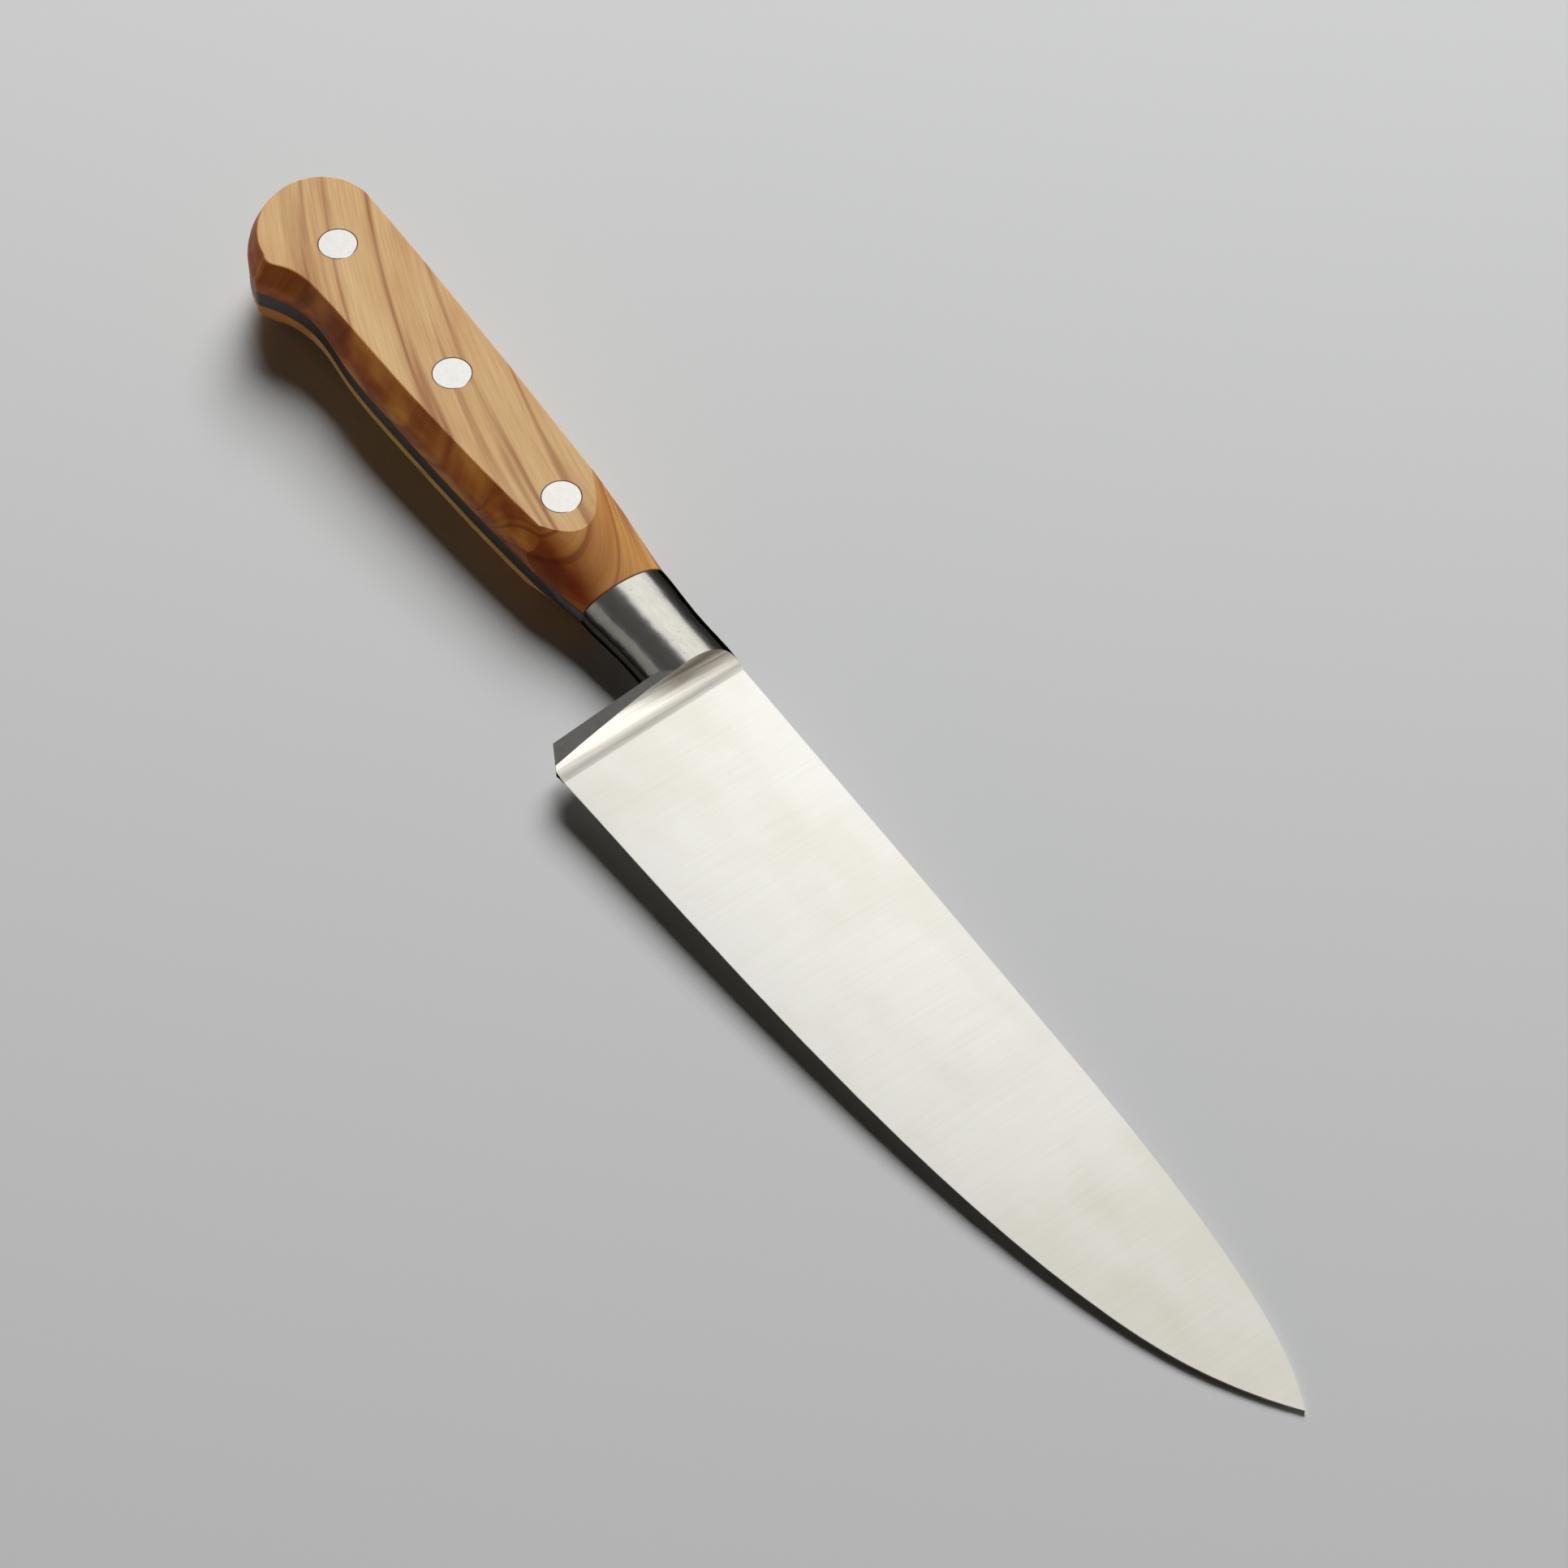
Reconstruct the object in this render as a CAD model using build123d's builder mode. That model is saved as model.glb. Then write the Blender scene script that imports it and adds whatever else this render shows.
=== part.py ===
from build123d import *
import os

# Forged chef's knife with a full tang, lying on the flat of its left handle scale.
# Millimetres. +X runs from the butt to the tip, +Y from the cutting edge to the spine, and +Z out of
# the knife's right side. The origin is under the middle of the knife, on the plane of the left flat.

LENGTH = 341.0              # butt to tip
RIVET_LINE = 11.0           # Y of the line through the three rivets
HANDLE_THICKNESS = 18.0     # across the two flats
MID = HANDLE_THICKNESS / 2  # Z of the knife's middle plane
TANG_THICKNESS = 3.5

# Stations, measured along the knife from the butt
RIVET_STATIONS = {"butt": 22.0, "middle": 63.7, "front": 102.2}
JOINT = 124.0               # where the wood meets the bolster
REAR_FACE = 145.0           # flat back of the full bolster
HEEL = 151.3                # bottom of the heel, where the cutting edge starts
PLUNGE = 152.4              # where the bolster's ramp runs out into the blade, at the spine

# Bolster
RAMP_RADIUS = 6.0           # the concave ramp between the ridge and the blade
RAMP_SLANT = 0.035          # how far the ramp runs forward for each millimetre towards the heel
NECK_CENTRE = -0.65         # height of the neck's centre at the joint, from the rivet line
NECK_RISE = 0.011           # how far it climbs for each millimetre forward
JOINT_OVAL = (JOINT, 9.9, 5.3)          # station, half height, half thickness
NECK_OVALS = (JOINT_OVAL, (133, 9.4, 5.15), (141, 9.2, 5.2), (147.5, 9.2, 5.35), (154, 7.9, 5.2))
GRIP_OVALS = ((96, 15.5, 13.2), (111, 11.7, 9.05), JOINT_OVAL)
RIDGE = (147.3, -10.1)      # station and height of the full bolster's ridge just under the neck
PLATE_HALF_AT_NECK = 4.42   # its half thickness there
PLATE_BACK_SLOPE = 0.33     # half thickness lost for each millimetre from the ridge backwards
PLATE_TAPER = 0.167         # and for each millimetre towards the heel
PLATE_TAPER_AT_NECK = 0.085 # gentler above, where the plate runs into the neck
PLATE_BLANK_HALF = 8.0      # half thickness of the block it is cut from

# Blade
BLANK_HALF = 3.0            # half thickness of the blank before grinding
SPINE_HALF_AT_HEEL = 1.2    # half thicknesses
EDGE_HALF_AT_HEEL = 0.2
TAPER_TO_TIP = 0.00226      # half thickness lost for each millimetre towards the tip
BLADE_HEIGHT = 43.0         # spine to edge at the heel
BLADE_RISE = (SPINE_HALF_AT_HEEL - EDGE_HALF_AT_HEEL) / BLADE_HEIGHT

# Scales
FRONT_GRIND = 96.5          # station where the front of the grip starts to be ground down
WALL_TOP = 4.5              # the scale's side wall stands to this height over the middle plane
CREASE_RADIUS = 3.0         # rounds the wall into the slope above it
FLAT_EDGE_RADIUS = 0.4      # the worn edge round the flat, up to where its front is ground down
RIM_CHAMFER = 0.12          # breaks the rims of the counterbores and of the rivet heads

# Rivets
HEAD_DIAMETER = 8.0
HEAD_THICKNESS = 3.0
TUBE_DIAMETER = 5.0
STUD_DIAMETER = 3.0
STUD_LENGTH = 10.0
BORE_DEPTH = 11.0


def at(station, height):
    """A point of the side view: station from the butt, height over the rivet line."""
    return (station - LENGTH / 2, height + RIVET_LINE)


def across(station):
    """The plane square to the knife's length at a station, local x towards the spine."""
    return Plane(origin=(station - LENGTH / 2, RIVET_LINE, MID), x_dir=(0, 1, 0), z_dir=(1, 0, 0))


MIDDLE = Plane.XY.offset(MID)
TIP = at(LENGTH, -5.7)


def handle_outline():
    """Side view of the tang: spine, round butt, end, hook and belly."""
    with BuildSketch(mode=Mode.PRIVATE) as outline:
        with BuildLine():
            Spline(at(JOINT, 9.2), at(100, 9.95), at(60, 11.75), at(13.9, 13.4))
            ThreePointArc(at(13.9, 13.4), at(3.97, 9.53), at(0.8, -4.0))
            ThreePointArc(at(0.8, -4.0), at(6.2, -11.6), at(16.6, -17.1))
            ThreePointArc(at(16.6, -17.1), at(17.8, -17.45), at(18.9, -17.0))
            Spline(at(18.9, -17.0), at(24.5, -14.1), at(31, -12.55), at(44, -13.5), at(60, -13.95),
                   at(78, -13.65), at(98, -12.9), at(JOINT, -10.6))
            Line(at(JOINT, -10.6), at(JOINT, 9.2))
        make_face()
    return outline.sketch


def flat_outline():
    """Outline of a scale's flat, inside the handle's outline, before its front is ground away."""
    with BuildSketch(mode=Mode.PRIVATE) as outline:
        with BuildLine():
            Spline(at(JOINT, 7.7), at(100, 8.9), at(60, 10.9), at(14.5, 12.35))
            crown = ThreePointArc(at(14.5, 12.35), at(5.2, 7.9), at(2.7, 0.0))
            TangentArc(at(2.7, 0.0), at(15.6, -13.75), tangent=crown % 1)
            ThreePointArc(at(15.6, -13.75), at(17.8, -14.2), at(19.6, -13.4))
            Spline(at(19.6, -13.4), at(23.5, -11.1), at(31, -10.1), at(44, -9.9), at(62, -9.8),
                   at(78, -9.3), at(98, -8.2), at(JOINT, -5.8))
            Line(at(JOINT, -5.8), at(JOINT, 7.7))
        make_face()
    return outline.sketch


def oval_form(sections):
    """A solid through upright ovals: station, half height and half thickness of each."""
    with BuildPart(mode=Mode.PRIVATE) as form:
        for station, half_height, half_thickness in sections:
            with BuildSketch(across(station)):
                with Locations((NECK_CENTRE + (station - JOINT) * NECK_RISE, 0)):
                    Ellipse(half_height, half_thickness)
        loft()
    return form.part


def front_waste():
    """What grinding takes off the front of the grip, to blend its flats into the oval neck."""
    with BuildPart(mode=Mode.PRIVATE) as waste:
        with BuildSketch(across(FRONT_GRIND)):
            Rectangle(80, 40)
        extrude(amount=JOINT - FRONT_GRIND)
        add(oval_form(GRIP_OVALS), mode=Mode.SUBTRACT)
    return waste.part


def wedge(depth, outer_plane):
    """Everything between a slanting side plane and its mirror image below the middle plane."""
    mirror_plane = Plane(origin=(outer_plane.origin.X, outer_plane.origin.Y, 2 * MID - outer_plane.origin.Z),
                         z_dir=(outer_plane.z_dir.X, outer_plane.z_dir.Y, -outer_plane.z_dir.Z))
    with BuildPart(mode=Mode.PRIVATE) as block:
        with BuildSketch(MIDDLE):
            Rectangle(2 * LENGTH, LENGTH)
        extrude(amount=depth, both=True)
        split(bisect_by=outer_plane, keep=Keep.BOTTOM)
        split(bisect_by=mirror_plane, keep=Keep.BOTTOM)
    return block.part


def side_plane(station, height, half_thickness, slope_along, slope_up):
    """A plane through a point of the right side, rising by its slopes towards the tip and the spine."""
    return Plane(origin=(*at(station, height), MID + half_thickness), z_dir=(-slope_along, -slope_up, 1))


def blade_profile():
    """Side view of the blade from inside the bolster forward: spine, tip, cutting edge and heel."""
    with BuildSketch(mode=Mode.PRIVATE) as profile:
        with BuildLine():
            Line(at(147.5, 7.9), at(PLUNGE, 7.9))
            Spline(at(PLUNGE, 7.9), at(202, 7.05), at(250, 6.0), at(298, 3.75), at(318, 1.3),
                   at(331, -1.6), TIP)
            Spline(TIP, at(335, -9.8), at(322, -16.6), at(303, -22.6), at(274, -27.95), at(238, -31.6),
                   at(196, -33.8), at(HEEL, -35.1))
            Polyline(at(HEEL, -35.1), at(149.5, -34.0), at(147.5, -32.0), at(147.5, 7.9))
        make_face()
    return profile.sketch


def ground_blade():
    """The flat-ground blade: full thickness at the spine by the bolster, thin at the edge and the tip."""
    with BuildPart(mode=Mode.PRIVATE) as ground:
        with BuildSketch(MIDDLE):
            add(blade_profile())
        extrude(amount=BLANK_HALF, both=True)
        flank = side_plane(PLUNGE, 7.9, SPINE_HALF_AT_HEEL, -TAPER_TO_TIP, BLADE_RISE)
        add(wedge(2 * BLANK_HALF, flank), mode=Mode.INTERSECT)
    return ground.part


def heel_plate():
    """The full bolster under the neck: a plate that thins towards the heel and towards its back."""
    with BuildPart(mode=Mode.PRIVATE) as plate:
        with BuildSketch(MIDDLE):
            with BuildLine():
                Polyline(at(REAR_FACE, -1.0), at(REAR_FACE, -31.6), at(HEEL, -35.1),
                         at(154, -35.1), at(154, -1.0), close=True)
            make_face()
        extrude(amount=PLATE_BLANK_HALF, both=True)
        for taper in (PLATE_TAPER, PLATE_TAPER_AT_NECK):
            flank = side_plane(*RIDGE, PLATE_HALF_AT_NECK, PLATE_BACK_SLOPE, taper)
            add(wedge(2 * PLATE_BLANK_HALF, flank), mode=Mode.INTERSECT)
    return plate.part


def ramp_cutter():
    """A round bar lying against the blade's right flank, and all that is forward of it."""
    across_flank = Vector(TAPER_TO_TIP, -BLADE_RISE, 1).normalized()
    along_ramp = (-RAMP_SLANT, 1, BLADE_RISE + RAMP_SLANT * TAPER_TO_TIP)
    axis_point = Vector(*at(PLUNGE, 7.9), MID + SPINE_HALF_AT_HEEL) + across_flank * RAMP_RADIUS
    with BuildPart(mode=Mode.PRIVATE) as bar:
        with BuildSketch(Plane(origin=axis_point, x_dir=(1, RAMP_SLANT, 0), z_dir=along_ramp)):
            Circle(RAMP_RADIUS)
            with Locations((RAMP_RADIUS, 0)):
                Rectangle(2 * RAMP_RADIUS, 2 * (RAMP_RADIUS + 2.0))
        extrude(amount=60, both=True)
    return bar.part


def rivet_spots():
    """The three rivets' places in the plane of a sketch or a hole."""
    return [at(station, 0) for station in RIVET_STATIONS.values()]


def scale(side):
    """One handle scale. side is 1 for the right scale, over the tang, and -1 for the left one."""
    with BuildPart() as wood:
        with BuildSketch(MIDDLE.offset(TANG_THICKNESS / 2)):
            add(handle_outline())
        extrude(amount=WALL_TOP - TANG_THICKNESS / 2)
        with BuildSketch(MIDDLE.offset(WALL_TOP)):
            add(handle_outline())
        with BuildSketch(MIDDLE.offset(MID)):
            add(flat_outline())
        loft(ruled=True)
        crease = wood.edges().filter_by_position(Axis.Z, MID + WALL_TOP - 0.1, MID + WALL_TOP + 0.1)
        fillet(crease.filter_by(GeomType.LINE, reverse=True), CREASE_RADIUS)
        flat = wood.faces().filter_by(Axis.Z).sort_by(Axis.Z)[-1]
        fillet(flat.outer_wire().edges().filter_by(GeomType.LINE, reverse=True), FLAT_EDGE_RADIUS)
        add(WASTE, mode=Mode.SUBTRACT)
        with Locations(MIDDLE.offset(MID)):
            with Locations(rivet_spots()):
                CounterBoreHole(TUBE_DIAMETER / 2, HEAD_DIAMETER / 2, HEAD_THICKNESS)
        flat = wood.faces().filter_by(Axis.Z).sort_by(Axis.Z)[-1]
        chamfer(flat.inner_wires().edges(), RIM_CHAMFER)
        if side < 0:
            mirror(about=MIDDLE, mode=Mode.REPLACE)
    return wood.part


WASTE = front_waste()
os.makedirs("parts", exist_ok=True)

# ---- Blade: one forging, with the bolster and the tang ----
with BuildPart() as blade:
    add(oval_form(NECK_OVALS))
    add(heel_plate())
    add(ramp_cutter(), mode=Mode.SUBTRACT)
    add(mirror(ramp_cutter(), about=MIDDLE, mode=Mode.PRIVATE), mode=Mode.SUBTRACT)
    add(ground_blade())
    with BuildSketch(MIDDLE):
        add(handle_outline())
    extrude(amount=TANG_THICKNESS / 2, both=True)
    add(WASTE, mode=Mode.SUBTRACT)
    with Locations(MIDDLE):
        with Locations(rivet_spots()):
            Hole(TUBE_DIAMETER / 2)
blade.part.label = "blade"
export_step(blade.part, "parts/blade.step")

# ---- Scales: two mirrored pieces of wood, counterbored for the rivet heads ----
for name, side in (("scale_right", 1), ("scale_left", -1)):
    piece = scale(side)
    piece.label = name
    export_step(piece, f"parts/{name}.step")

# ---- Rivets: a solid stud from the right, pressed into a hollow tube from the left ----
SHOULDER = MID - HEAD_THICKNESS       # distance of a head's inner face from the middle plane
for name, station in RIVET_STATIONS.items():
    with BuildPart() as stud:
        with BuildSketch(MIDDLE.offset(SHOULDER)):
            with Locations(at(station, 0)):
                Circle(HEAD_DIAMETER / 2)
        extrude(amount=HEAD_THICKNESS)
        with BuildSketch(MIDDLE.offset(SHOULDER)):
            with Locations(at(station, 0)):
                Circle(STUD_DIAMETER / 2)
        extrude(amount=-STUD_LENGTH)
        chamfer(stud.faces().sort_by(Axis.Z)[-1].edges(), RIM_CHAMFER)
    stud.part.label = f"rivet_stud_{name}"
    export_step(stud.part, f"parts/rivet_stud_{name}.step")

    with BuildPart() as tube:
        with BuildSketch(MIDDLE.offset(-MID)):
            with Locations(at(station, 0)):
                Circle(HEAD_DIAMETER / 2)
        extrude(amount=HEAD_THICKNESS)
        with BuildSketch(MIDDLE.offset(-SHOULDER)):
            with Locations(at(station, 0)):
                Circle(TUBE_DIAMETER / 2)
        extrude(amount=2 * SHOULDER)
        with BuildSketch(MIDDLE.offset(SHOULDER)):
            with Locations(at(station, 0)):
                Circle(STUD_DIAMETER / 2)
        extrude(amount=-BORE_DEPTH, mode=Mode.SUBTRACT)
        chamfer(tube.faces().sort_by(Axis.Z)[0].edges(), RIM_CHAMFER)
    tube.part.label = f"rivet_tube_{name}"
    export_step(tube.part, f"parts/rivet_tube_{name}.step")
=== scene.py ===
# %% [markdown]
# A forged chef's knife with olive-wood scales, lying on a pale floor.
# The shape comes from the CAD frame. This file gives each piece its finish, then adds floor, lights and camera.
# The frame is loaded first, because every size and place below is read from it.

# %% Load the frame
import math

import bmesh
import bpy
from mathutils import Matrix, Vector


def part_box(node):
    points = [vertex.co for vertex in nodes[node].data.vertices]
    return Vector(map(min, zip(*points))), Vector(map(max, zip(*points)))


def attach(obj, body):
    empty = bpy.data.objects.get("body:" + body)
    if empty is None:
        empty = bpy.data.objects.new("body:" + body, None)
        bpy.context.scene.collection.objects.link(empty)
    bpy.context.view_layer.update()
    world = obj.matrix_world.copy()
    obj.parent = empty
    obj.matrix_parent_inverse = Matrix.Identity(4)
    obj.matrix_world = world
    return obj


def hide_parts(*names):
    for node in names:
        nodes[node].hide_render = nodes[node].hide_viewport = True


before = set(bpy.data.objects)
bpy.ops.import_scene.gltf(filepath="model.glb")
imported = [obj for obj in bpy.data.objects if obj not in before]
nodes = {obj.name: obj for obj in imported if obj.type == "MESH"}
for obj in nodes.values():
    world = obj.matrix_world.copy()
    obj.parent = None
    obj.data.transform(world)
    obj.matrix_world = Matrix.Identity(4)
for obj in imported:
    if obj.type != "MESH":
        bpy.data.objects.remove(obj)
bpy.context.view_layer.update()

MM = 0.001

# %% [markdown]
# The finishes change at landmarks: where the wood meets the bolster, at the tang, round the rivets. They could be
# typed in as numbers, but they are read from the boxes of the knife's own nodes, so that they stay true to them.
# +X runs from the butt to the tip, +Y from the cutting edge to the spine, and +Z up out of the right side.

# %% Landmarks of the knife
JOINT_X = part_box("scale_right")[1].x
FLAT_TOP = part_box("scale_right")[1].z
MIDDLE_Z = FLAT_TOP / 2
TANG_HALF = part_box("scale_right")[0].z - MIDDLE_Z
RIVETS = [(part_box(f"rivet_stud_{place}")[0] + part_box(f"rivet_stud_{place}")[1]) / 2
          for place in ("butt", "middle", "front")]
print("joint at", round(JOINT_X / MM, 1), "mm, rivets at", [round(r.x / MM, 1) for r in RIVETS], "mm")

# %% [markdown]
# Blender's shaders work in linear light, while a colour seen on a screen is written as an sRGB hex value.
# One function turns the second into the first, and every colour below goes through it.

# %% Colours
def colour(code):
    """Turns an sRGB hex value into linear red, green, blue and alpha."""
    channels = [int(code[i:i + 2], 16) / 255 for i in (1, 3, 5)]
    return tuple(c / 12.92 if c <= 0.04045 else ((c + 0.055) / 1.055) ** 2.4 for c in channels) + (1.0,)


print("linear value of mid grey #808080:", round(colour("#808080")[0], 3))

# %% [markdown]
# A finish is a small network of shader nodes. It could be drawn by hand in the shader editor. Here one function
# adds any node, with its settings by name, each input as a value or a link, and the stops of a colour ramp.
# A Mix node has sockets for several kinds of value, so the ones it uses for colours are named by number.

# %% Adding a node
def add(tree, kind, inputs=None, stops=(), **settings):
    """Adds a node. An input is a value, a socket to link, or a node, whose first output is linked."""
    made = tree.nodes.new("ShaderNode" + kind)
    for name, value in settings.items():
        setattr(made, name, value)
    for name, value in (inputs or {}).items():
        source = value.outputs[0] if isinstance(value, bpy.types.Node) else value
        if isinstance(source, bpy.types.NodeSocket):
            tree.links.new(source, made.inputs[name])
        else:
            made.inputs[name].default_value = source
    for index, (position, code) in enumerate(stops):
        elements = made.color_ramp.elements
        element = elements[index] if index < len(elements) else elements.new(position)
        element.position = position
        element.color = colour(code)
    return made


FACTOR, FIRST, SECOND = 0, 6, 7     # inputs of a Mix node that mixes colours
MIXED = 2                           # and its output
COLOURS = {"data_type": "RGBA"}
SMOOTH = {"interpolation_type": "SMOOTHSTEP"}
print("node helper ready")

# %% [markdown]
# Each material starts from an empty tree. Grinding marks, polish and wood fibre are all a grain: noise stretched
# until its lumps have a given size, in millimetres, along each axis of the knife. An image texture could be
# wrapped round instead, but noise has no seams on a curved handle and stays sharp close up.

# %% Materials and grain
GRAIN_ROUGHNESS = 0.55


def new_material(name):
    """Makes a material with nothing in it, and gives its node tree too."""
    material = bpy.data.materials.new(name)
    material.use_nodes = True
    material.node_tree.nodes.clear()
    return material, material.node_tree


def grain(tree, sizes, detail=3.0, place=None):
    """Noise whose lumps have the given sizes, in millimetres, along the three axes."""
    if place is None:
        place = add(tree, "TexCoord").outputs["Object"]
    scaled = add(tree, "Mapping", {"Vector": place, "Scale": [1 / (size * MM) for size in sizes]})
    return add(tree, "TexNoise", {"Vector": scaled, "Scale": 1.0, "Detail": detail, "Roughness": GRAIN_ROUGHNESS})


print("material helpers ready")

# %% [markdown]
# Stainless blade steel, ground across the blade and then brushed fine.
# The scratches run from spine to edge, so a highlight spreads along the blade: that is what anisotropy does, and
# its tangent is the direction of the spread. Real scratches are a few hundredths of a millimetre apart, too fine
# to show, so they are drawn 0.35 mm apart and faint. Broad faint clouds show where the grinding bore harder.

# %% Finish of the ground blade
SCRATCHES = (0.35, 16.0, 16.0)      # millimetres: apart along the blade, long across it
SCRATCH_DEPTH = 0.01                # millimetres
CLOUDS = (30.0, 18.0, 18.0)         # millimetres

BLADE_STEEL, blade = new_material("satin_ground_stainless")
scratches = grain(blade, SCRATCHES)
brushing = add(blade, "ValToRGB", {"Fac": scratches}, stops=((0.25, "#F0EFEB"), (0.75, "#F6F5F2")))
clouds = grain(blade, CLOUDS, detail=2.0)
clouding = add(blade, "ValToRGB", {"Fac": clouds}, stops=((0.30, "#F6F4EE"), (0.60, "#FFFFFF")))
tone = add(blade, "Mix", {FACTOR: 1.0, FIRST: brushing, SECOND: clouding}, blend_type="MULTIPLY", **COLOURS)
relief = add(blade, "Bump", {"Height": scratches, "Strength": 0.06, "Distance": SCRATCH_DEPTH * MM})
spread = add(blade, "CombineXYZ", {"X": 1.0})
shader = add(blade, "BsdfPrincipled", {"Base Color": tone.outputs[MIXED], "Metallic": 1.0, "Roughness": 0.31,
                                       "Anisotropic": 0.6, "Tangent": spread, "Normal": relief})
add(blade, "OutputMaterial", {"Surface": shader})
print("made", BLADE_STEEL.name)

# %% [markdown]
# The bolster is forged and then polished along the knife, so it shines more than the blade, with a few small pits
# left from the forging. The polish gives bright steel, streaked softly along the neck.

# %% Polish and pits of the bolster
POLISH = (4.0, 1.2, 1.2)            # millimetres
PITS = (0.45, 0.45, 0.45)           # millimetres
PIT_DEPTH = 0.02                    # millimetres
PIT_FROM, PIT_FULL = 0.74, 0.80     # only the noise's highest lumps are pits, so they are few

BOLSTER_STEEL, bolster = new_material("polished_forged_bolster")
polish = grain(bolster, POLISH)
bright = add(bolster, "ValToRGB", {"Fac": polish}, stops=((0.30, "#B8B6B0"), (0.70, "#C4C2BD")))
pits = grain(bolster, PITS, detail=1.0)
pitted = add(bolster, "MapRange", {"Value": pits, "From Min": PIT_FROM, "From Max": PIT_FULL}, **SMOOTH)
bright = add(bolster, "Mix", {FACTOR: pitted, FIRST: bright, SECOND: colour("#7A7870")}, **COLOURS)
relief = add(bolster, "Bump", {"Height": pits, "Strength": 0.15, "Distance": PIT_DEPTH * MM})
print("polish streaks", POLISH[0], "mm long, pits", PITS[0], "mm across")

# %% [markdown]
# The neck's narrow sides, towards the spine and the belly, are painted darker: painted shade, for the dim room and
# the shadowed floor that these sides turn to and mirror. The painted shade reaches a little further round on the
# spine's side. It could be a mask painted by hand. Here the surface's own direction decides: bright where it faces
# out of the knife's side, and darker as it turns away.

# %% Painted shade on the bolster's sides
SHADE_TILT = -0.14                   # shifts the painted shade towards the spine
SHADED_FACING, UNSHADED_FACING = 0.68, 0.99         # how far outward a face looks where it is all painted shade, and where it has none

direction = add(bolster, "NewGeometry").outputs["Normal"]
normal = add(bolster, "SeparateXYZ", {"Vector": direction}).outputs
outward = add(bolster, "Math", {0: normal["Z"]}, operation="ABSOLUTE")
facing = add(bolster, "Math", {0: normal["Y"], 1: SHADE_TILT, 2: outward}, operation="MULTIPLY_ADD")
unshaded_share = add(bolster, "MapRange", {"Value": facing, "From Min": SHADED_FACING, "From Max": UNSHADED_FACING}, **SMOOTH)
# painted shade: the dark grey #403F3B on the faces that turn away from the knife's side
tone = add(bolster, "Mix", {FACTOR: unshaded_share, FIRST: colour("#403F3B"), SECOND: bright.outputs[MIXED]}, **COLOURS)
# the dark grey specular tint dims the neck's grazing reflections as well: painted shade too
shader = add(bolster, "BsdfPrincipled", {"Base Color": tone.outputs[MIXED], "Metallic": 1.0, "Roughness": 0.19,
                                         "Specular Tint": colour("#6A6966"), "Normal": relief})
add(bolster, "OutputMaterial", {"Surface": shader})
print("made", BOLSTER_STEEL.name)

# %% [markdown]
# The concave ramp in front of the bolster is ground with a coarse wheel, whose lines run from spine to heel. It shows
# as soft pale lines. Near the neck the ramp stands highest, and there it is painted darker and browner: a painted
# reflection, for the dim surroundings that its steep faces there mirror.

# %% Finish of the ramp
GRIND_LINES = (0.35, 14.0, 14.0)    # millimetres, drawn coarser than real ones so that they show
LINE_DEPTH = 0.03                   # millimetres
DIM_REFLECTION_LOW, DIM_REFLECTION_HIGH = -19.0, -3.0   # it fades in between these heights from the rivet line, in millimetres
DIM_REFLECTION_START, DIM_REFLECTION_FULL = 1.3, 2.4    # and between these distances from the middle plane
DIM_REFLECTION_AMOUNT = 0.85

RAMP_STEEL, ramp = new_material("coarse_ground_ramp")
lines = grain(ramp, GRIND_LINES)
lit_grind = add(ramp, "ValToRGB", {"Fac": lines}, stops=((0.30, "#DFDAD1"), (0.70, "#F8F7F3")))
# painted reflection: dark brown grind lines that stand in for the dim reflections near the neck
painted_dim_reflection = add(ramp, "ValToRGB", {"Fac": lines}, stops=((0.35, "#4C453B"), (0.65, "#857B6C")))
place = add(ramp, "TexCoord").outputs["Object"]
split = add(ramp, "SeparateXYZ", {"Vector": place}).outputs
height = add(ramp, "Math", {0: split["Y"], 1: RIVETS[0].y}, operation="SUBTRACT")
near_neck = add(ramp, "MapRange", {"Value": height, "From Min": DIM_REFLECTION_LOW * MM, "From Max": DIM_REFLECTION_HIGH * MM}, **SMOOTH)
off_middle = add(ramp, "Math", {0: split["Z"], 1: MIDDLE_Z}, operation="SUBTRACT")
raised = add(ramp, "MapRange", {"Value": off_middle, "From Min": DIM_REFLECTION_START * MM, "From Max": DIM_REFLECTION_FULL * MM},
             **SMOOTH)
dim_reflection_share = add(ramp, "Math", {0: near_neck, 1: raised}, operation="MULTIPLY")
amount = add(ramp, "Math", {0: dim_reflection_share, 1: DIM_REFLECTION_AMOUNT}, operation="MULTIPLY")
tone = add(ramp, "Mix", {FACTOR: amount, FIRST: lit_grind, SECOND: painted_dim_reflection}, **COLOURS)
relief = add(ramp, "Bump", {"Height": lines, "Strength": 0.3, "Distance": LINE_DEPTH * MM})
shader = add(ramp, "BsdfPrincipled", {"Base Color": tone.outputs[MIXED], "Metallic": 1.0, "Roughness": 0.38,
                                      "Normal": relief})
add(ramp, "OutputMaterial", {"Surface": shader})
print("made", RAMP_STEEL.name)

# %% [markdown]
# The tang shows as a thin band of ground steel round the handle. Its greys are far darker than steel: painted shade,
# for the shaded floor that its edge faces and mirrors. The rivets are faced off flush with the wood and brushed
# lightly, so they catch the light as even, nearly white discs. Both are plain enough for one recipe: a grain between
# two greys.

# %% Finishes of the tang and of the rivets
def plain_steel(name, dark, light, roughness, sizes):
    """Steel whose grain runs between two greys."""
    material, tree = new_material(name)
    tone = add(tree, "ValToRGB", {"Fac": grain(tree, sizes)}, stops=((0.30, dark), (0.70, light)))
    shader = add(tree, "BsdfPrincipled", {"Base Color": tone, "Metallic": 1.0, "Roughness": roughness})
    add(tree, "OutputMaterial", {"Surface": shader})
    return material


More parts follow.
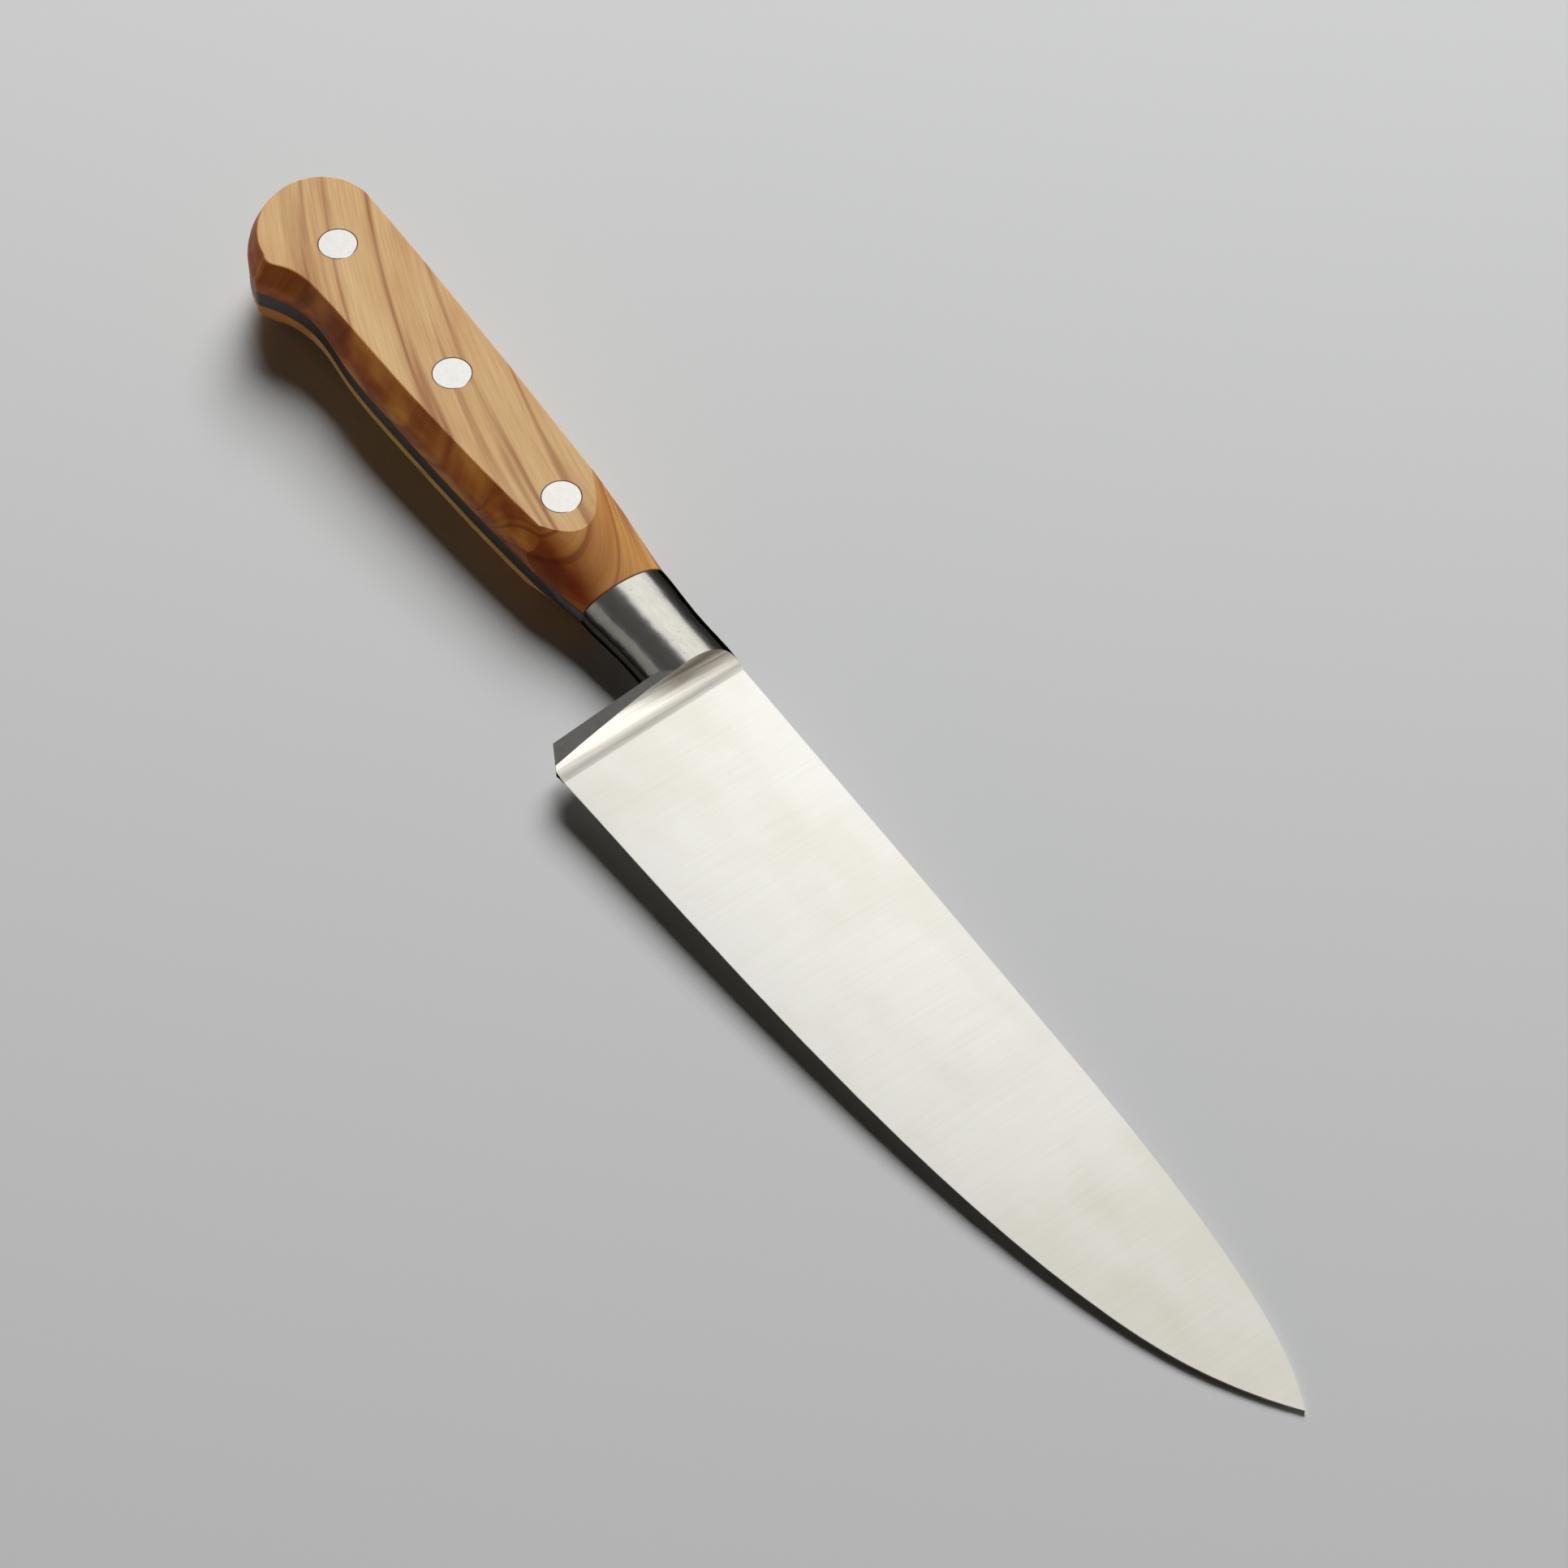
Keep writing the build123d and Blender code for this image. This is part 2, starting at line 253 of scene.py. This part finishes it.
# painted shade: the tang's greys are far darker than steel, for the shaded floor its edge mirrors
TANG_STEEL = plain_steel("ground_tang_edge", "#434342", "#565654", 0.45, (4.0, 0.3, 0.3))
RIVET_STEEL = plain_steel("flush_ground_rivet_steel", "#E2E2DF", "#EBEBE9", 0.33, (0.7, 0.7, 0.7))
print("made", TANG_STEEL.name, "and", RIVET_STEEL.name)

# %% [markdown]
# Olive wood. A board shows its growth rings as streaks, so the pattern is drawn in a coordinate that counts
# across the rings. On the flat the rings cross the handle at a slant that eases towards the blade. They also lean
# into the wood's depth, most of all at the front, so where that is ground down to the neck they show as curves.

# %% Ring coordinate of the wood
SLANT_AT_BUTT = 0.45        # how far the rings climb per millimetre, at the first rivet
SLANT_EASE = 0.0018         # how much less, for each millimetre towards the blade
RING_LEAN = 0.8             # millimetres of ring for each millimetre of depth, along the grip
FRONT_LEAN = 3.2            # and where the front is ground down
LEAN_START = RIVETS[2].x - 12.0 * MM
LEAN_END = RIVETS[2].x + 4.0 * MM

OLIVE_WOOD, wood = new_material("oiled_olive_wood")
place = add(wood, "TexCoord").outputs["Object"]
split = add(wood, "SeparateXYZ", {"Vector": place}).outputs
from_rivet = add(wood, "Math", {0: split["X"], 1: RIVETS[0].x}, operation="SUBTRACT")
slant = add(wood, "Math", {0: from_rivet, 1: -SLANT_EASE / MM, 2: SLANT_AT_BUTT}, operation="MULTIPLY_ADD")
on_flat = add(wood, "Math", {0: from_rivet, 1: slant, 2: split["Y"]}, operation="MULTIPLY_ADD")
lean = add(wood, "MapRange", {"Value": split["X"], "From Min": LEAN_START, "From Max": LEAN_END,
                              "To Min": RING_LEAN, "To Max": FRONT_LEAN}, **SMOOTH)
depth = add(wood, "Math", {0: FLAT_TOP, 1: split["Z"]}, operation="SUBTRACT")
ring = add(wood, "Math", {0: depth, 1: lean, 2: on_flat}, operation="MULTIPLY_ADD")
rings = add(wood, "CombineXYZ", {"X": split["X"], "Y": ring, "Z": split["Z"]})
print("rings slant by", SLANT_AT_BUTT, "at the butt and lean by", FRONT_LEAN, "at the front")

# %% [markdown]
# Dark streaks lie where a slow noise crosses its middle value. That gives thin lines that wander and join, as
# they do in olive wood, where a wave texture would give even stripes. A second noise makes some lines stronger
# than others.

# %% Streaks of the wood
WANDER = (130.0, 5.2, 60.0)         # millimetres along, across and through the rings
PATCHES = (35.0, 12.0, 30.0)
MIDDLE_VALUE = 0.5
STREAK_WIDTH = 0.075                # how far from the middle value a streak reaches
FAINT, STRONG = 0.25, 0.85          # strengths of the faintest and the darkest streaks

wander = grain(wood, WANDER, detail=1.5, place=rings)
from_crossing = add(wood, "Math", {0: wander, 1: MIDDLE_VALUE}, operation="SUBTRACT")
off_line = add(wood, "Math", {0: from_crossing}, operation="ABSOLUTE")
line = add(wood, "MapRange", {"Value": off_line, "From Min": STREAK_WIDTH, "From Max": 0.0}, **SMOOTH)
patches = grain(wood, PATCHES, detail=1.0, place=rings)
strength = add(wood, "MapRange", {"Value": patches, "From Min": 0.35, "From Max": 0.65,
                                  "To Min": FAINT, "To Max": STRONG}, **SMOOTH)
streak = add(wood, "Math", {0: line, 1: strength}, operation="MULTIPLY")
print("streaks wander over", WANDER[0], "mm and lie about", WANDER[1], "mm apart")

# %% [markdown]
# The colours of the flat: honey with broad warmer clouds, the streaks in a pinkish brown, and over both a faint
# fibre. Real fibres are a tenth of a millimetre wide or less, so they are drawn 0.45 mm wide to show at all.

# %% Honey colour of the flat
WARM_CLOUDS = (45.0, 9.0, 40.0)     # millimetres
FIBRES = (12.0, 0.45, 8.0)          # millimetres

warmth = grain(wood, WARM_CLOUDS, detail=2.0, place=rings)
base = add(wood, "ValToRGB", {"Fac": warmth}, stops=((0.30, "#C79A6B"), (0.50, "#D9B382"), (0.70, "#E0BE8D")))
streaked = add(wood, "Mix", {FACTOR: streak, FIRST: base, SECOND: colour("#9C6747")}, **COLOURS)
fibres = grain(wood, FIBRES, detail=2.0, place=rings)
fibre_tone = add(wood, "ValToRGB", {"Fac": fibres}, stops=((0.30, "#EFE7DD"), (0.70, "#FFFFFF")))
honey = add(wood, "Mix", {FACTOR: 1.0, FIRST: streaked.outputs[MIXED], SECOND: fibre_tone},
            blend_type="MULTIPLY", **COLOURS).outputs[MIXED]
print("clouds", WARM_CLOUDS[0], "mm long, fibres", FIBRES[1], "mm wide,", len(wood.nodes), "nodes so far")

# %% [markdown]
# The belly side cuts across the rings and has soaked up more oil, so on the right scale it is much darker and redder,
# in blotches. On the left scale, which the knife lies on, the belly side is painted paler and yellower instead:
# painted light, for the light that the floor throws back onto it. Each could have a material of its own. One serves
# both here, and the side of the middle plane tells it which it is.

# %% Belly side of the scales
BLOTCHES = (17.0, 8.0, 8.0)         # millimetres
BOUNCE_LIGHT_AMOUNT = 0.65
SIDE_START, SIDE_FULL = 0.10, 0.60  # how far a face turns to the belly where the colour starts, and is full

blotches = grain(wood, BLOTCHES, detail=2.0)
oil = add(wood, "ValToRGB", {"Fac": blotches}, stops=((0.38, "#BC7434"), (0.58, "#FFCE84")))
oiled = add(wood, "Mix", {FACTOR: 1.0, FIRST: honey, SECOND: oil}, blend_type="MULTIPLY", **COLOURS)
# painted light: the left scale's belly side is made paler and yellower, for the light the floor throws back onto it
painted_bounce_light = add(wood, "Mix", {FACTOR: BOUNCE_LIGHT_AMOUNT, FIRST: honey, SECOND: colour("#DCA448")}, **COLOURS)
on_right = add(wood, "MapRange", {"Value": split["Z"], "From Min": MIDDLE_Z - MM, "From Max": MIDDLE_Z + MM},
               **SMOOTH)
belly = add(wood, "Mix", {FACTOR: on_right, FIRST: painted_bounce_light.outputs[MIXED], SECOND: oiled.outputs[MIXED]}, **COLOURS)
direction = add(wood, "NewGeometry").outputs["Normal"]
normal = add(wood, "SeparateXYZ", {"Vector": direction}).outputs
belly_facing = add(wood, "Math", {0: normal["Y"], 1: -1.0}, operation="MULTIPLY")
on_belly = add(wood, "MapRange", {"Value": belly_facing, "From Min": SIDE_START, "From Max": SIDE_FULL}, **SMOOTH)
sides = add(wood, "Mix", {FACTOR: on_belly, FIRST: honey, SECOND: belly.outputs[MIXED]}, **COLOURS)
print("belly side shades off over blotches", BLOTCHES[0], "mm long")

# %% [markdown]
# Where the front is ground down to the neck, the wood shows more end grain, which drinks more oil and turns
# warmer and darker. A face there points towards the blade, so the surface's direction along the knife finds it.

# %% Front slope of the scales
SLOPE_START, SLOPE_FULL = 0.03, 0.16

on_slope = add(wood, "MapRange", {"Value": normal["X"], "From Min": SLOPE_START, "From Max": SLOPE_FULL}, **SMOOTH)
grown = add(wood, "Mix", {FACTOR: on_slope, FIRST: sides.outputs[MIXED], SECOND: colour("#F0D4AA")},
            blend_type="MULTIPLY", **COLOURS).outputs[MIXED]
print("front slope tinted,", len(wood.nodes), "nodes so far")

# %% [markdown]
# A thin dark line of painted shade lies along the joints and round the rivet holes, for the shade that falls into the
# narrow gaps between the parts. It is what makes the pieces read as separate ones. It could be a gap in the shape;
# here only the colour changes within a fraction of a millimetre of the tang, of the bolster and of each rivet's rim.

# %% Painted shade along the joints
RIM, RIM_UNSHADED = 4.06, 4.16         # millimetres from a rivet's centre, fully shaded up to the first, unshaded from the second
AT_TANG, TANG_UNSHADED = 0.10, 0.30    # millimetres from the tang
AT_JOINT, JOINT_UNSHADED = 0.15, 0.45  # millimetres from the bolster

off_middle = add(wood, "Math", {0: split["Z"], 1: MIDDLE_Z}, operation="SUBTRACT")
off_plane = add(wood, "Math", {0: off_middle}, operation="ABSOLUTE")
off_tang = add(wood, "Math", {0: off_plane, 1: TANG_HALF}, operation="SUBTRACT")
at_tang = add(wood, "MapRange", {"Value": off_tang, "From Min": TANG_UNSHADED * MM, "From Max": AT_TANG * MM}, **SMOOTH)
off_joint = add(wood, "Math", {0: JOINT_X, 1: split["X"]}, operation="SUBTRACT")
at_joint = add(wood, "MapRange", {"Value": off_joint, "From Min": JOINT_UNSHADED * MM, "From Max": AT_JOINT * MM},
               **SMOOTH)
painted_seam_shade = add(wood, "Math", {0: at_tang, 1: at_joint}, operation="MAXIMUM")
side_view = add(wood, "CombineXYZ", {"X": split["X"], "Y": split["Y"]})
for rivet in RIVETS:
    away = add(wood, "VectorMath", {0: side_view, 1: (rivet.x, rivet.y, 0.0)}, operation="DISTANCE")
    at_rim = add(wood, "MapRange", {"Value": away.outputs["Value"], "From Min": RIM_UNSHADED * MM,
                                    "From Max": RIM * MM}, **SMOOTH)
    painted_seam_shade = add(wood, "Math", {0: painted_seam_shade, 1: at_rim}, operation="MAXIMUM")
print("dirt at the tang, at the bolster and round", len(RIVETS), "rivets")

# %% [markdown]
# Oiled wood is not varnished: the oil sinks in and leaves a dull sheen, so it is fairly rough and mirrors little.

# %% Finish of the scales
SEAM_SHADE_AMOUNT = 0.85

amount = add(wood, "Math", {0: painted_seam_shade, 1: SEAM_SHADE_AMOUNT}, operation="MULTIPLY")
# painted shade: the dark brown #2A1A10 along the seams
tone = add(wood, "Mix", {FACTOR: amount, FIRST: grown, SECOND: colour("#2A1A10")}, **COLOURS)
shader = add(wood, "BsdfPrincipled", {"Base Color": tone.outputs[MIXED], "Roughness": 0.5, "IOR": 1.5,
                                      "Specular IOR Level": 0.3})
add(wood, "OutputMaterial", {"Surface": shader})
print("made", OLIVE_WOOD.name, "with", len(wood.nodes), "nodes")

# %% [markdown]
# Blade, bolster, ramp and tang are one forging with several finishes, so a copy of the CAD node takes its place
# and gets its finish face by face. A CAD mesh is loose triangles, so the copy's are merged where they meet. Their
# shading directions are read beforehand and put back after, so that curved faces stay smooth and edges crisp.

# %% Merging a copy
MERGE_WITHIN = 1e-4 * MM


def merged_copy(source):
    """A copy of a mesh with its triangles joined and its shading kept."""
    mesh = source.copy()
    shading = [corner.vector.copy() for corner in source.corner_normals]
    work = bmesh.new()
    work.from_mesh(mesh)
    bmesh.ops.remove_doubles(work, verts=work.verts, dist=MERGE_WITHIN)
    work.to_mesh(mesh)
    work.free()
    mesh.normals_split_custom_set(shading)
    return mesh


forging = bpy.data.objects.new("forged_blade", merged_copy(nodes["blade"].data))
bpy.context.scene.collection.objects.link(forging)
print("forged_blade:", len(forging.data.polygons), "faces,", len(forging.data.vertices), "points after merging")

# %% [markdown]
# Which finish a face gets depends on where it is. Behind the joint is the tang. The ramp runs out at the plunge
# line, and everything in front of that is blade. Just behind the plunge line, a face is the ramp's if it leans
# forward as a quarter circle would at that distance, and otherwise it belongs to the bolster.

# %% Finishes of the blade piece
TANG_END = 0.05 * MM        # faces whose middle is behind this belong to the tang
SPINE_Y = RIVETS[0].y + 7.9 * MM
PLUNGE = 28.4 * MM          # from the joint forward to where the ramp runs out at the spine
RAMP_RADIUS = 6.0 * MM
RAMP_SLANT = 0.035          # the ramp's end runs forward by this much per millimetre towards the heel
RAMP_TURN = 0.6             # the least share of the quarter circle's lean that counts as ramp
BLADE, BOLSTER, RAMP, TANG = range(4)


def steel_region(centre, normal):
    """Says which finish a face of the forging has."""
    forward = centre.x - JOINT_X
    behind_plunge = PLUNGE + RAMP_SLANT * (SPINE_Y - centre.y) - forward
    if forward < TANG_END:
        return TANG
    if behind_plunge < 0:
        return BLADE
    on_ramp = behind_plunge < RAMP_RADIUS and normal.x > RAMP_TURN * behind_plunge / RAMP_RADIUS
    return RAMP if on_ramp else BOLSTER


forging.data.materials.clear()
for finish in (BLADE_STEEL, BOLSTER_STEEL, RAMP_STEEL, TANG_STEEL):
    forging.data.materials.append(finish)
for face in forging.data.polygons:
    face.material_index = steel_region(face.center, face.normal)
finished = [face.material_index for face in forging.data.polygons]
print("faces of blade, bolster, ramp and tang:", [finished.count(region) for region in (BLADE, BOLSTER, RAMP, TANG)])

# %% [markdown]
# The copy rides on the knife's only body and replaces the CAD blade, which is then hidden.

# %% Blade piece in place
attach(forging, "root")
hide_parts("blade")
print(forging.name, "replaces blade")

# %% [markdown]
# The scales and rivets already have their true shape, so they keep their CAD nodes and only change material.

# %% Scales and rivets
for side in ("right", "left"):
    nodes[f"scale_{side}"].material_slots[0].material = OLIVE_WOOD
for place in ("butt", "middle", "front"):
    for kind in ("stud", "tube"):
        nodes[f"rivet_{kind}_{place}"].material_slots[0].material = RIVET_STEEL
print("two scales and six rivet parts finished")

# %% [markdown]
# A matt pale floor takes soft shadows and mirrors nothing. A knife laid down leans on the front end of its lower
# flat and on its tip. It could be turned to do so, but CAD nodes stay where they are, so the floor is tilted
# instead until it touches both. It is a stage piece, not part of the object.

# %% Floor
REST_X = -59.5 * MM         # front end of the lower flat
TIP_RISE = 8.6              # millimetres the tip stands above the flat's plane
TIP_REACH = 230.0           # millimetres from there to the tip
FLOOR_SIZE = 12.0           # metres
TILT = math.atan(TIP_RISE / TIP_REACH)

PALE_FLOOR, ground = new_material("pale_matt_floor")
shader = add(ground, "BsdfPrincipled", {"Base Color": colour("#CDCECE"), "Roughness": 0.75})
add(ground, "OutputMaterial", {"Surface": shader})
bpy.ops.mesh.primitive_grid_add(x_subdivisions=1, y_subdivisions=1, size=FLOOR_SIZE, location=(REST_X, 0, 0),
                                rotation=(0, -TILT, 0))
floor = bpy.context.object
floor.name = "floor"
floor.data.materials.append(PALE_FLOOR)
print("floor tilted by", round(math.degrees(TILT), 2), "degrees")

# %% [markdown]
# Steel shows what it reflects, so a studio lights it with panels, each with its own job. Area lights do the same
# here. They are placed on a plane square to MIRROR, the direction in which the knife's flat reflects the camera,
# or along a direction of their own.

# %% Light panels
MIRROR = Vector((-0.485, 0.326, 0.811)).normalized()
PANEL_DISTANCE = 1.13       # metres


def panel(name, towards, offset, size, radiance, tint, gloss=True, diffuse=False, distance=PANEL_DISTANCE):
    """A rectangular light facing the knife. Its offset is measured on its own plane, in metres."""
    towards = towards.normalized()
    axis_x = (Vector((1, 0, 0)) - towards * towards.x).normalized()
    axis_y = towards.cross(axis_x)
    lamp = bpy.data.lights.new(name, "AREA")
    lamp.shape = "RECTANGLE"
    lamp.size, lamp.size_y = size
    lamp.energy = radiance * math.pi * size[0] * size[1]
    lamp.color = colour(tint)[:3]
    holder = bpy.data.objects.new(name, lamp)
    centre = towards * distance + axis_x * offset[0] + axis_y * offset[1]
    holder.matrix_world = Matrix.Translation(centre) @ Matrix((axis_x, axis_y, towards)).transposed().to_4x4()
    bpy.context.scene.collection.objects.link(holder)
    holder.visible_glossy = gloss
    holder.visible_diffuse = diffuse
    holder.visible_camera = False
    return holder


print("panels stand", PANEL_DISTANCE, "m away")

# %% [markdown]
# The softbox is what the blade, the rivets and the neck's bright band reflect. The key, twice as far behind it,
# lights the wood and the floor, which mirror nothing. The side card carries the blade's brightness on to the tip,
# the rear card is for the back of the full bolster, the ramp card is what the concave ramp sees, and the belly
# card gives the neck's lower half its grey. The belly fill stands low beside the cutting edge and warms the
# wood's dark side, as light thrown back from a table would.

# %% Lights
RAMP_DIRECTION = Vector((0.68, 0.335, 0.65))
BELLY_DIRECTION = Vector((-0.5, -0.62, 0.6))
FILL_DIRECTION = Vector((-0.15, -0.97, 0.14))
FOR_MATT = {"gloss": False, "diffuse": True}

panel("softbox", MIRROR, offset=(-0.10, 0.28), size=(0.70, 0.82), radiance=1.36, tint="#FFFEFA")
panel("key", MIRROR, offset=(-0.18, 0.52), size=(1.20, 1.40), radiance=13.2, tint="#FFFFFF",
      distance=2 * PANEL_DISTANCE, **FOR_MATT)
panel("side_card", MIRROR, offset=(0.93, 0.05), size=(0.86, 0.70), radiance=1.05, tint="#FDFAF0")
panel("rear_card", MIRROR, offset=(-0.95, -0.05), size=(0.50, 0.60), radiance=0.15, tint="#FFFFFF")
panel("ramp_card", RAMP_DIRECTION, offset=(0.0, 0.0), size=(1.0, 0.9), radiance=1.65, tint="#FFFEFA")
panel("belly_card", BELLY_DIRECTION, offset=(0.0, -0.02), size=(1.4, 0.6), radiance=0.30, tint="#FFFCF2")
panel("belly_fill", FILL_DIRECTION, offset=(0.0, 0.0), size=(1.0, 0.25), radiance=1.15, tint="#FFDDB0", **FOR_MATT)
print("lights:", [lamp.name for lamp in bpy.data.lights])

# %% [markdown]
# The room around is dim. Reflections see it a little brighter than the shadows do, as a real room is
# brighter at eye level than down on the floor. Behind the floor's far edge the camera sees the floor's own grey.

# %% Surroundings
ROOM_IN_SHADOWS = 0.008
ROOM_IN_REFLECTIONS = 0.10

world = bpy.data.worlds.new("studio")
bpy.context.scene.world = world
world.use_nodes = True
room = world.node_tree
room.nodes.clear()
ray = add(room, "LightPath").outputs
level = add(room, "Math", {0: ray["Is Glossy Ray"], 1: ROOM_IN_REFLECTIONS - ROOM_IN_SHADOWS, 2: ROOM_IN_SHADOWS},
            operation="MULTIPLY_ADD")
surround = add(room, "Background", {"Color": colour("#FFFFFF"), "Strength": level})
backdrop = add(room, "Background", {"Color": colour("#C4C5C5"), "Strength": 1.0})
seen = add(room, "MixShader", {0: ray["Is Camera Ray"], 1: surround, 2: backdrop})
add(room, "OutputWorld", {"Surface": seen})
print("room level in reflections:", ROOM_IN_REFLECTIONS)

# %% [markdown]
# The camera looks down on the knife from the cutting-edge side, about a metre away, with a long lens.
# Its place and directions were found by fitting the knife's known points to the view.

# %% Camera
SENSOR_WIDTH = 36.0         # millimetres
FOCAL_LENGTH = 121.1        # millimetres
PLACE = Vector((0.47358, -0.33900, 0.82753))
RIGHT = Vector((0.58557, 0.81053, 0.01227))
FORWARD = Vector((-0.46382, 0.34743, -0.81496))

lens = bpy.data.cameras.new("camera")
lens.sensor_width = SENSOR_WIDTH
lens.lens = FOCAL_LENGTH
camera = bpy.data.objects.new("camera", lens)
bpy.context.scene.collection.objects.link(camera)
turned = Matrix((RIGHT, RIGHT.cross(FORWARD), -FORWARD)).transposed().to_4x4()
camera.matrix_world = Matrix.Translation(PLACE) @ turned
bpy.context.scene.camera = camera
bpy.context.scene.view_settings.view_transform = "Standard"
print("camera", round(PLACE.length, 2), "m from the knife")
